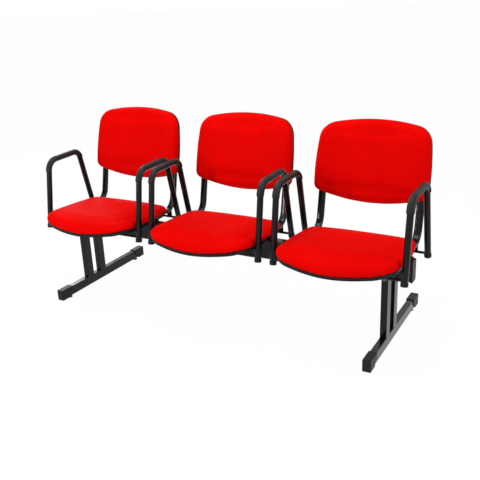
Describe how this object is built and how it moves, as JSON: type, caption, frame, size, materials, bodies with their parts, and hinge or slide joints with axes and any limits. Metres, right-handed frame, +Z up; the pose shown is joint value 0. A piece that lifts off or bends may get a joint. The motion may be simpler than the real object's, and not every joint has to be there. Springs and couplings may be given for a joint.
{
  "type": "beam seating",
  "caption": "Row of upholstered visitor seats with curved backs and looped armrests, side by side on one rectangular steel beam with inverted T legs and levelling feet.",
  "frame": {"origin": "centre of the footprint, on the floor", "axes": "+X along the row to the right as seen from the front, -Y the way the sitters face, +Z up"},
  "size_m": [1.6166, 0.6133, 0.7813],
  "materials": {
    "red_fabric": "fine woven red cloth over foam",
    "plywood": "plain plywood",
    "black_plastic": "fine-grained black plastic",
    "soft_black_plastic": "soft black moulded skin with a dull sheen",
    "black_steel": "black powder coat, half gloss",
    "zinc_steel": "zinc-plated fasteners",
    "glide_plastic": "hard black plastic disc on a threaded stud"
  },
  "bodies": {
    "row": {"left_seat_cushion": "red_fabric", "left_seat_board": "plywood", "left_seat_cover": "black_plastic", "left_seat_plate": "black_steel", "left_back_cushion": "red_fabric", "left_back_board": "plywood", "left_back_cover": "black_plastic", "left_back_tube_left": "black_steel", "left_back_tube_right": "black_steel", "left_arm_tube_left": "black_steel", "left_arm_tube_right": "black_steel", "left_arm_pad_left": "soft_black_plastic", "left_arm_pad_right": "soft_black_plastic", "left_arm_rods": "black_steel", "middle_seat_cushion": "red_fabric", "middle_seat_board": "plywood", "middle_seat_cover": "black_plastic", "middle_seat_plate": "black_steel", "middle_back_cushion": "red_fabric", "middle_back_board": "plywood", "middle_back_cover": "black_plastic", "middle_back_tube_left": "black_steel", "middle_back_tube_right": "black_steel", "middle_arm_tube_left": "black_steel", "middle_arm_tube_right": "black_steel", "middle_arm_pad_left": "soft_black_plastic", "middle_arm_pad_right": "soft_black_plastic", "middle_arm_rods": "black_steel", "right_seat_cushion": "red_fabric", "right_seat_board": "plywood", "right_seat_cover": "black_plastic", "right_seat_plate": "black_steel", "right_back_cushion": "red_fabric", "right_back_board": "plywood", "right_back_cover": "black_plastic", "right_back_tube_left": "black_steel", "right_back_tube_right": "black_steel", "right_arm_tube_left": "black_steel", "right_arm_tube_right": "black_steel", "right_arm_pad_left": "soft_black_plastic", "right_arm_pad_right": "soft_black_plastic", "right_arm_rods": "black_steel", "arm_end_caps": "black_plastic", "tube_end_plugs": "black_plastic", "panel_screws": "zinc_steel", "plate_bolts": "black_steel", "beam": "black_steel", "beam_end_plugs": "black_plastic", "left_foot": "black_steel", "left_posts": "black_steel", "left_foot_caps": "black_plastic", "right_foot": "black_steel", "right_posts": "black_steel", "right_foot_caps": "black_plastic", "glide_nuts": "zinc_steel", "leg_bolts": "zinc_steel"},
    "left_front_glide": {"left_front_glide": "glide_plastic"},
    "left_rear_glide": {"left_rear_glide": "glide_plastic"},
    "right_front_glide": {"right_front_glide": "glide_plastic"},
    "right_rear_glide": {"right_rear_glide": "glide_plastic"}
  },
  "joints": [
    {"name": "left_front_glide_screw", "type": "slide", "parent": "row", "child": "left_front_glide", "axis": [0, 0, -1], "range_m": [0, 0.01]},
    {"name": "left_rear_glide_screw", "type": "slide", "parent": "row", "child": "left_rear_glide", "axis": [0, 0, -1], "range_m": [0, 0.01]},
    {"name": "right_front_glide_screw", "type": "slide", "parent": "row", "child": "right_front_glide", "axis": [0, 0, -1], "range_m": [0, 0.01]},
    {"name": "right_rear_glide_screw", "type": "slide", "parent": "row", "child": "right_rear_glide", "axis": [0, 0, -1], "range_m": [0, 0.01]}
  ]
}
